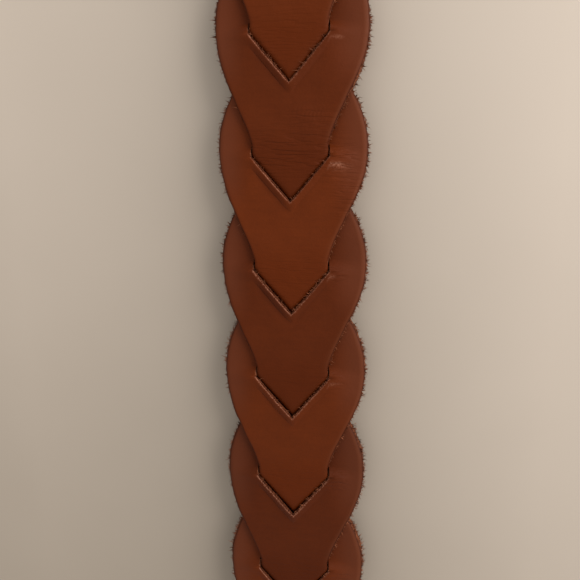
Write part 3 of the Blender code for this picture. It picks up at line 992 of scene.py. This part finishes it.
def edge_density(form, fuzz=0.5):
    """Fibres per metre on a cut edge: most on the right edge and along the lips."""

    def density(start, end):
        x, y, z = ((start + end) / 2).T
        outer = np.abs(x) > 0.5 * form.half_belt
        on_lip = (np.abs(y - slit_line(form, x)) < LIP_NEAR) & (np.abs(z) > form.high)
        seen = (y > LOBE_START * form.pitch) & (y < 0.97 * form.pitch)
        clumps = 1.0 + 0.9 * np.sin(y * 3700.0 + 40.0 * x / form.half_belt) * np.sin(y * 9300.0)
        body = y < 0.05 * form.pitch
        right = np.where(body, RIGHT_BODY_FIBRES, RIGHT_ARM_FIBRES)
        left = np.where(body, LEFT_BODY_FIBRES, LEFT_ARM_FIBRES)
        result = np.where(outer & seen, np.where(x > 0.0, right, left) * clumps, 0.0)
        return np.where(on_lip, LIP_FIBRES + FUZZY_LIP_FIBRES * fuzz, result)

    return density


def even_density(per_metre):
    return lambda start, end: np.full(len(start), per_metre)


class Sum:
    """A shader socket that takes part in sums, so that shader maths reads as plain expressions."""

    def __init__(self, shader, socket):
        self.shader = shader
        self.socket = socket

    def math(self, operation, *values):
        return self.shader.node("ShaderNodeMath", {"operation": operation}, dict(enumerate(values)))

    def __add__(self, other):
        return self.math("ADD", self, other)

    __radd__ = __add__

    def __sub__(self, other):
        return self.math("SUBTRACT", self, other)

    def __rsub__(self, other):
        return self.math("SUBTRACT", other, self)

    def __mul__(self, other):
        return self.math("MULTIPLY", self, other)

    __rmul__ = __mul__

    def __pow__(self, other):
        return self.math("POWER", self, other)

    def __rpow__(self, other):
        return self.math("POWER", other, self)

    def absolute(self):
        return self.math("ABSOLUTE", self)

    def clamped(self):
        return self.shader.node("ShaderNodeClamp", {}, {"Value": self})


class Shader:
    """A material under construction: its nodes, and the object's coordinate that they start from."""

    def __init__(self, name):
        self.material = bpy.data.materials.new(name)
        self.material.use_nodes = True
        self.tree = self.material.node_tree
        self.place = self.node("ShaderNodeTexCoord", {}, {}, "Object")

    def node(self, kind, settings, links, output=0):
        """A node of a kind, with its settings and with values or links on its sockets."""
        made = self.tree.nodes.new(kind)
        for name, value in settings.items():
            setattr(made, name, value)
        self.feed(made, links)
        return Sum(self, made.outputs[output])

    def feed(self, made, links):
        for name, value in links.items():
            if isinstance(value, Sum):
                self.tree.links.new(value.socket, made.inputs[name])
            else:
                made.inputs[name].default_value = value

    def noise(self, scale, detail, roughness=0.55, stretch=None):
        """Noise over the object: a stretch below 1 draws it out along that axis, one above 1 squeezes it."""
        place = self.place
        if stretch:
            place = self.node("ShaderNodeMapping", {}, {"Vector": place, "Scale": stretch})
        links = {"Vector": place, "Scale": scale, "Detail": detail, "Roughness": roughness}
        return self.node("ShaderNodeTexNoise", {}, links)

    def along(self, axis):
        return self.node("ShaderNodeSeparateXYZ", {}, {"Vector": self.place}, axis)

    def point_value(self, name):
        """A value that the mesh carries at its points."""
        return self.node("ShaderNodeAttribute", {"attribute_name": name}, {}, "Fac")

    def mix(self, share, first, second, blend="MIX"):
        """Mixes two colours by a share."""
        settings = {"data_type": "RGBA", "blend_type": blend, "clamp_factor": True}
        return self.node("ShaderNodeMix", settings, {0: share, 6: first, 7: second}, 2)

    def bump(self, height, strength, distance):
        links = {"Height": height, "Strength": strength, "Distance": distance}
        return self.node("ShaderNodeBump", {}, links, "Normal")

    def finish(self, links):
        """Feeds the surface, and gives the finished material."""
        self.feed(self.tree.nodes["Principled BSDF"], links)
        return self.material


def rgba(colour, factor=1.0):
    return (*(channel * factor for channel in colour), 1.0)


def grain_leather(name, colour, look):
    """Smooth vegetable-tanned hide: mottled colour, fine pores, fuzzy lips and pale scuffs, with painted
    highlights on the lips' edges and the right outer edges, a painted sheen on the arms, and painted shade
    on the necks, towards the slits, below the lips and, with a dark edge finish, along the borders.
    """
    shader = Shader(name)
    mix = shader.mix
    arm, border, dive, foot, fuzz, lip, neck, tone_and_shade, scuff, wrinkle = (
        shader.point_value(value)
        for value in ("arm", "border", "dive", "foot", "fuzz", "lip", "neck", "tone", "scuff", "wrinkle")
    )
    cloud = shader.noise(130.0, 5.0)
    fine = shader.noise(900.0, 4.0, 0.6)
    specks = shader.noise(2600.0, 3.0, 0.6)
    strokes = shader.noise(900.0, 3.0, stretch=(0.22, 1.0, 1.0))

    tone = (cloud - 0.5) * 0.60 + (strokes - 0.5) * 0.40 + (fine - 0.5) * 0.35 + (specks - 0.5) * 0.55 + 0.5
    base = mix(tone.clamped(), rgba(colour, 0.80), rgba(colour, 1.20))
    # Painted sheen on the arms, which tilt outwards and catch the light.
    arm_sheen = mix(arm * 0.75, base, rgba(look.arm))
    # Painted highlight along the right outer edges, which face the lamp, in the pinkish colour of the raw
    # edge.
    right = (shader.along("X") * 400.0 + 0.3).clamped()
    edge_highlight = mix(right * border * (1.0 - border**3) * 0.40, arm_sheen, rgba(look.raw, 0.85))
    # Dark line along the outer edges: partly a real dark edge finish, partly painted shade where an edge
    # meets the leather below.
    burnish_and_shade = mix(border**5 * 0.85, edge_highlight, rgba(look.painted_shade, 2.0))
    # Painted shade on the necks, which tilt away from the light as they dive.
    tongue = tuple(channel * share for channel, share in zip(colour, (0.88, 0.78, 0.25)))
    neck_shade = mix(neck * 0.8, burnish_and_shade, rgba(tongue))
    # Painted shade deepening towards the slit, then a near-black painted shadow in the gap under the lip.
    dive_shade = mix(dive * 0.30, neck_shade, rgba(colour, 0.55))
    painted_shade = mix(dive**7 * 0.60, dive_shade, rgba(look.painted_shade))
    suede = mix(dive**3 * (specks * 7.0 - 3.7).clamped() * 0.5, painted_shade, rgba(look.raw))
    # Painted shade in the crease and on the slope below each lip.
    slope = mix((foot * (cloud * 1.3)).clamped() * 0.75, suede, rgba(look.painted_shade, 2.2))
    # Real pale fuzz on the lips and real scuffs, with a painted highlight along the lips' cut edges.
    fuzzy = fuzz * lip**14 * (specks * 6.0 - 2.6).clamped() * 0.7
    edge = lip**70 * (cloud * 2.0 + specks * 2.2 - 1.6).clamped()
    scuffed = scuff * (specks * 5.0 - 1.9).clamped()
    wear_and_highlight = mix((edge + fuzzy + scuffed).clamped(), slope, rgba(look.wear_and_highlight))

    gloss = 0.50 + (cloud - 0.5) * 0.25 + (fine - 0.5) * 0.20 + border * 0.10 + dive * 0.2
    links = {"Vector": shader.place, "Scale": 1900.0, "Smoothness": 0.6}
    pores = shader.node("ShaderNodeTexVoronoi", {"feature": "SMOOTH_F1"}, links)
    folds = shader.noise(620.0, 2.0, stretch=(0.16, 1.0, 1.0))
    creases = ((folds - 0.5).absolute() * 9.0).clamped() * wrinkle * 2.9
    height = pores * 0.30 + fine * 0.45 + strokes * 0.35 + cloud * 0.30 + creases
    return shader.finish(
        {
            # Each link's tone scales its colour; the listed tones include painted shade that deepens where
            # the light falls off.
            "Base Color": mix(1.0, wear_and_highlight, tone_and_shade, "MULTIPLY"),
            "Roughness": gloss.clamped(),
            "Normal": shader.bump(height, 0.6, 0.00012),
            "Specular IOR Level": 0.09,
        }
    )


def raw_leather(name, look):
    """Cut edge, flesh side and fibres: matt and felted."""
    shader = Shader(name)
    felt = shader.noise(2600.0, 5.0, 0.7)
    patch = shader.noise(900.0, 3.0)
    share = ((patch - 0.5) * 3.5 + (felt - 0.5) * 1.5 + 0.52).clamped()
    felted = shader.mix(share, rgba(look.dark, 0.45), rgba(look.raw, 1.15))
    return shader.finish(
        {
            # Painted shade darkens the raw cut face along the lips.
            "Base Color": shader.mix(shader.point_value("lip") * 0.75, felted, rgba(look.dark, 0.70)),
            "Roughness": 0.92,
            "Normal": shader.bump(felt, 0.9, 0.00025),
            "Specular IOR Level": 0.15,
        }
    )


def satin_metal(name, look):
    """Antiqued metal with fine rubbing marks."""
    shader = Shader(name)
    cloud = shader.noise(260.0, 5.0)
    rubs = shader.noise(700.0, 3.0, stretch=(1.0, 9.0, 9.0))
    share = ((cloud - 0.35) * 1.6 + (rubs - 0.5) * 0.5).clamped()
    return shader.finish(
        {
            "Base Color": shader.mix(share, rgba(look.metal, 0.45), rgba(look.metal, 1.05)),
            "Roughness": 0.26 + cloud * 0.22 + rubs * 0.08,
            "Normal": shader.bump(rubs, 0.3, 0.00005),
            "Metallic": 1.0,
        }
    )


def paper_floor(name, colour, lower_left_shade):
    """The plain pale surface, faintly cloudy, with painted shade towards the lower left where the light
    falls off and a painted shadow close beside the belt.
    """
    shader = Shader(name)
    cloud = shader.noise(14.0, 3.0)
    x, y = shader.along("X"), shader.along("Y")
    # Painted shade: the surface darkens towards the lower left near the belt, as if the light fell off
    # there.
    close_by = (1.0 - (x * x + y * y) * 4.0).clamped()
    share = (0.50 + (x * 2.5 + y * 4.2) * close_by * close_by + (cloud - 0.5) * 0.2).clamped()
    base = shader.mix(share, rgba(lower_left_shade), rgba(colour, 1.20))
    # Painted shadow beside the belt, deeper and wider on its left.
    beside = ((0.52 - y.absolute()) * 14.0).clamped()
    nearness = (1.0 - ((x + 0.006).absolute() * 13.5).clamped()) * beside
    shaded = shader.mix(nearness, base, rgba((0.74, 0.74, 0.73)), "MULTIPLY")
    return shader.finish({"Base Color": shaded, "Roughness": 0.85, "Specular IOR Level": 0.2})


def leather_materials(look, slot):
    """Grain and raw-edge materials of a slot, made once."""
    grain_name = f"{slot}_grain"
    if grain_name not in bpy.data.materials:
        grain_leather(grain_name, look.light if slot == "leather_light" else look.dark, look)
    if "raw_edge" not in bpy.data.materials:
        raw_leather("raw_edge", look)
    return bpy.data.materials[grain_name], bpy.data.materials["raw_edge"]


def seat(piece, *nodes):
    """Puts a finished piece on the belt's body in place of its solids."""
    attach(piece, BODY)
    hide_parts(*nodes)


def random_wear(rng):
    """Slight grooves, wrinkles and a tone for a link that the photograph doesn't show."""
    side = rng.choice((-1.0, 1.0))
    groove = (side * 0.45, 0.04, rng.uniform(0.35, 0.55), side * 47.0, rng.uniform(0.00006, 0.00016), 0.0005)
    corner = (side * rng.uniform(-1.3, -1.1), 0.36, 0.3, 0.10, rng.uniform(0.3, 0.8))
    tongue_place = (rng.uniform(-0.3, 0.3), rng.uniform(-0.65, -0.5))
    tongue = (*tongue_place, 1.0, rng.uniform(0.10, 0.18), rng.uniform(0.2, 0.7))
    lips = (rng.uniform(0.2, 1.0), rng.uniform(0.3, 1.4))
    return (groove,), (corner, tongue), lips, rng.uniform(0.86, 1.08)


def cut_away(piece, prism, cutter_name, material):
    """Removes a closed prism's space from a piece, and leaves raw edges there."""
    points, faces = prism
    mesh = bpy.data.meshes.new(cutter_name)
    mesh.from_pydata(points, [], faces)
    mesh.materials.append(material)
    cutter = add_object(cutter_name, mesh)
    add_boolean(piece, cutter, "DIFFERENCE").material_mode = "TRANSFER"
    finished = applied_mesh(piece)
    piece.modifiers.clear()
    piece.data = finished
    bpy.data.objects.remove(cutter)


def oblong(centre, half_width, half_length, top, sides=24):
    """A closed upright prism with round ends: its points and faces."""
    ring = []
    straight = half_length - half_width
    for k in range(sides):
        angle = 2.0 * math.pi * (k + 0.5) / sides
        y = half_width * math.sin(angle) + math.copysign(straight, math.sin(angle))
        ring.append((centre.x + half_width * math.cos(angle), centre.y + y))
    points = [(x, y, z) for z in (CUT_BELOW, top) for x, y in ring]
    faces = [tuple(reversed(range(sides))), tuple(range(sides, 2 * sides))]
    faces += [(k, (k + 1) % sides, sides + (k + 1) % sides, sides + k) for k in range(sides)]
    return points, faces


class BELT_OT_links(Operator):
    """Models every folded link around its solid"""

    bl_idname = "belt.links"
    bl_label = "Links"

    def execute(self, context):
        form = belt_form(context.scene.belt_sizes)
        look = context.scene.belt_look
        if not LINKS:
            raise RuntimeError("the frame has no links")
        grid = link_grid(form)
        for name in LINKS:
            number = int(name[-2:])
            leather = Leather(form, look, grid, seed=number)
            grooves, wrinkles, lips, tone = random_wear(leather.rng)
            lips = LIPS.get(number, lips)
            leather.add_relief(
                GROOVES.get(number, grooves),
                WRINKLES.get(number, wrinkles),
                SCUFFS.get(number, ()),
                lips,
                TONES_AND_SHADE.get(number, tone),
            )
            leather.close(edge_density(form, lips[1]))
            materials = leather_materials(look, SLOTS[name])
            piece = leather.make(f"leather_{name}", link_place(form, number), materials)
            leather.finish(piece)
            seat(piece, name)
        return {"FINISHED"}


class BELT_OT_buckle_strap(Operator):
    """Models the strap that holds the buckle"""

    bl_idname = "belt.buckle_strap"
    bl_label = "Buckle strap"

    def execute(self, context):
        sizes, look = context.scene.belt_sizes, context.scene.belt_look
        form = belt_form(sizes)
        own_tip = link_place(form, 0)
        bar_height = form.bar_radius + form.leather / 2
        bar_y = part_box("buckle_strap")[0].y + form.bar_radius + form.leather / 2 - own_tip
        leather = Leather(form, look, buckle_strap_grid(form, sizes, bar_y), seed=101)
        leather.add_relief()
        leather.sink(form.waist - sizes.step_down, -1, sizes.droop_length, form.lift - bar_height)
        leather.close(edge_density(form))
        materials = leather_materials(look, SLOTS["buckle_strap"])
        piece = leather.make("leather_buckle_strap", own_tip, materials)
        reach = sizes.prong_slot_length + form.bar_radius + form.leather
        centre = Vector((0.0, own_tip + bar_y + sizes.prong_slot_length - reach, 0.0))
        slot = oblong(centre, sizes.prong_slot / 2, reach, CUT_ABOVE_BAR)
        cut_away(piece, slot, "prong_slot", materials[1])
        leather.finish(piece)
        seat(piece, "buckle_strap")
        return {"FINISHED"}


class BELT_OT_tip_strap(Operator):
    """Models the doubled tip strap with its prong holes"""

    bl_idname = "belt.tip_strap"
    bl_label = "Tip strap"

    def execute(self, context):
        sizes, look = context.scene.belt_sizes, context.scene.belt_look
        form = belt_form(sizes)
        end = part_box("tip_strap")[1].y
        own_tip = link_place(form, len(LINKS) + 1)
        leather = Leather(form, look, tip_strap_grid(form, sizes, end - own_tip), seed=202)
        leather.add_relief(height=TIP_WAVES)
        leather.sink(sizes.step_down, 1, sizes.droop_length, form.lift - form.low - form.leather / 2)
        leather.close(even_density(TIP_STRAP_FIBRES))
        materials = leather_materials(look, SLOTS["tip_strap"])
        piece = leather.make("leather_tip_strap", own_tip, materials)
        radius = sizes.hole_diameter / 2
        for number in range(sizes.hole_count):
            centre = Vector((0.0, end - sizes.hole_from_tip - number * sizes.hole_pitch, 0.0))
            hole = oblong(centre, radius, radius, CUT_ABOVE_TIP)
            cut_away(piece, hole, "prong_hole", materials[1])
        leather.finish(piece)
        seat(piece, "tip_strap")
        return {"FINISHED"}


def tube(name, points, radii, cyclic, resolution=5):
    """A round rod of varying thickness along points, as a mesh."""
    curve = bpy.data.curves.new(name, "CURVE")
    curve.dimensions = "3D"
    curve.bevel_depth = 1.0
    curve.bevel_resolution = resolution
    curve.use_fill_caps = not cyclic
    spline = curve.splines.new("POLY")
    spline.points.add(len(points) - 1)
    for control, point, radius in zip(spline.points, points, radii):
        control.co = (*point, 1.0)
        control.radius = radius
    spline.use_cyclic_u = cyclic
    rod = add_object(name, curve)
    mesh = applied_mesh(rod)
    bpy.data.objects.remove(rod)
    item = add_object(name, mesh)
    item.modifiers.new("Caps", "WELD").merge_threshold = WELD
    return item


def frame_path(bar, rail_y, half_width, bar_corner, rail_corner, steps=10):
    """Rounded rectangle from the bar to the front rail."""
    corners = (
        # side, start angle, radius, centre along
        (1, 0.0, bar_corner, bar.y - bar_corner),
        (-1, 90.0, bar_corner, bar.y - bar_corner),
        (-1, 180.0, rail_corner, rail_y + rail_corner),
        (1, 270.0, rail_corner, rail_y + rail_corner),
    )
    path = []
    for side, start, radius, centre_y in corners:
        centre_x = side * (half_width - radius)
        for step in range(steps + 1):
            angle = math.radians(start + 90.0 * step / steps)
            path.append((centre_x + radius * math.cos(angle), centre_y + radius * math.sin(angle), bar.z))
    return path


def prong_path(bar, rail_y, radius, stations=14):
    """Points and radii of the prong, from the bar in a slight arch over the rail and down to its point."""
    over_rail = bar.z + radius + PRONG_RADIUS - PRONG_SINK
    path, radii = [], []
    for k in range(stations + 1):
        share = k / stations
        arch = PRONG_ARCH * math.sin(math.pi * share)
        path.append((0.0, bar.y + (rail_y - bar.y) * share, bar.z + (over_rail - bar.z) * share + arch))
        radii.append(PRONG_RADIUS)
    for share in (0.5, 0.8, 1.0):
        path.append((0.0, rail_y - (radius + PRONG_OVERHANG) * share, over_rail - PRONG_DROP * share))
        radii.append(PRONG_RADIUS * (1.0 - 0.45 * share**3))
    return path, radii


class BELT_OT_buckle(Operator):
    """Models the buckle's frame and prong as one metal piece"""

    bl_idname = "belt.buckle"
    bl_label = "Buckle"

    def execute(self, context):
        sizes, look = context.scene.belt_sizes, context.scene.belt_look
        form = belt_form(sizes)
        low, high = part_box("buckle")
        radius = sizes.bar_diameter / 2
        bar = Vector((0.0, high.y - radius - COLLAR_WALL, form.bar_radius + form.leather / 2))
        half_width = high.x - radius
        rail_y = low.y + PRONG_OVERHANG + radius
        path = frame_path(bar, rail_y, half_width, half_width - form.half_strap - form.gap, RAIL_CORNER)
        piece = tube("metal_buckle", path, [radius] * len(path), cyclic=True)
        prong = tube("prong_rod", *prong_path(bar, rail_y, radius), cyclic=False)
        bpy.ops.mesh.primitive_cylinder_add(
            vertices=40,
            radius=radius + COLLAR_WALL,
            depth=COLLAR_WIDTH,
            location=bar,
            rotation=(0.0, math.radians(90.0), 0.0),
        )
        collar = bpy.context.object
        rounding = collar.modifiers.new("Rounded", "BEVEL")
        rounding.width = COLLAR_BEVEL
        rounding.segments = 3
        for other in (prong, collar):
            add_boolean(piece, other, "UNION")
        mesh = applied_mesh(piece)
        piece.modifiers.clear()
        piece.data = mesh
        for other in (prong, collar):
            bpy.data.objects.remove(other)
        mesh.materials.clear()
        mesh.materials.append(satin_metal("satin_brass", look))
        mesh.shade_smooth()
        mesh.set_sharp_from_angle(angle=math.radians(METAL_CREASE))
        seat(piece, "buckle")
        return {"FINISHED"}


class BELT_OT_stage(Operator):
    """Sets the pale surface, the soft light and the camera of the photograph"""

    bl_idname = "belt.stage"
    bl_label = "Stage"

    def execute(self, context):
        scene, stage = context.scene, context.scene.belt_stage
        scene.view_settings.view_transform = "Standard"
        scene.view_settings.look = "None"
        self.add_floor(stage)
        self.add_lights(scene, stage)
        self.add_camera(scene, stage, belt_form(scene.belt_sizes))
        return {"FINISHED"}

    def add_floor(self, stage):
        bpy.ops.mesh.primitive_grid_add(x_subdivisions=4, y_subdivisions=4, size=FLOOR_SIZE)
        floor = bpy.context.object
        floor.name = "pale_surface"
        floor.data.materials.append(paper_floor("pale_surface", stage.floor, stage.floor_shade))

    def add_lights(self, scene, stage):
        key = bpy.data.lights.new("window", "AREA")
        key.shape = "RECTANGLE"
        key.size = stage.lamp_width
        key.size_y = stage.lamp_height
        key.energy = stage.key_energy
        key.color = stage.key_colour
        lamp = add_object("window", key)
        lamp.location = stage.lamp_place
        lamp.rotation_euler = (-Vector(lamp.location)).to_track_quat("-Z", "Y").to_euler()
        world = bpy.data.worlds.new("room")
        world.use_nodes = True
        room = world.node_tree.nodes["Background"]
        room.inputs["Color"].default_value = rgba(stage.fill_colour)
        room.inputs["Strength"].default_value = stage.fill_strength
        scene.world = world

    def add_camera(self, scene, stage, form):
        camera = bpy.data.cameras.new("camera")
        camera.sensor_fit = "HORIZONTAL"
        camera.angle = stage.picture_angle
        camera.clip_start, camera.clip_end = CAMERA_CLIP
        aim_y = link_place(form, MIDDLE_LINK) + stage.aim_along
        target = Vector((stage.aim_across, aim_y, form.lift + form.high))
        back = Vector((math.tan(stage.camera_side), math.tan(stage.camera_lean), 1.0)).normalized()
        right = (-back).cross(Vector((0.0, 1.0, 0.0))).normalized()
        turn = Matrix((right, right.cross(-back), back)).transposed().to_4x4()
        viewer = add_object("camera", camera)
        viewer.matrix_world = (
            Matrix.Translation(target + back * stage.camera_distance)
            @ turn
            @ Matrix.Rotation(stage.camera_roll, 4, "Z")
        )
        scene.camera = viewer


class BELT_PT_panel(Panel):
    """The belt's sizes, colours and steps"""

    bl_idname = "BELT_PT_panel"
    bl_label = "Linked leather belt"
    bl_space_type = "VIEW_3D"
    bl_region_type = "UI"
    bl_category = "Belt"

    def draw(self, context):
        layout = self.layout
        for group in (context.scene.belt_sizes, context.scene.belt_look, context.scene.belt_stage):
            box = layout.box()
            for name in group.__annotations__:
                box.prop(group, name)
        for operator in OPERATORS:
            layout.operator(operator.bl_idname)


OPERATORS = (BELT_OT_stage, BELT_OT_links, BELT_OT_buckle_strap, BELT_OT_tip_strap, BELT_OT_buckle)
CLASSES = (BeltSizes, LeatherLook, StageLook, *OPERATORS, BELT_PT_panel)


def register():
    for item in CLASSES:
        bpy.utils.register_class(item)
    bpy.types.Scene.belt_sizes = PointerProperty(type=BeltSizes)
    bpy.types.Scene.belt_look = PointerProperty(type=LeatherLook)
    bpy.types.Scene.belt_stage = PointerProperty(type=StageLook)


def unregister():
    del bpy.types.Scene.belt_stage
    del bpy.types.Scene.belt_look
    del bpy.types.Scene.belt_sizes
    for item in reversed(CLASSES):
        bpy.utils.unregister_class(item)


def main():
    register()
    bpy.ops.belt.stage()
    bpy.ops.belt.links()
    bpy.ops.belt.buckle_strap()
    bpy.ops.belt.tip_strap()
    bpy.ops.belt.buckle()


if __name__ == "__main__":
    main()
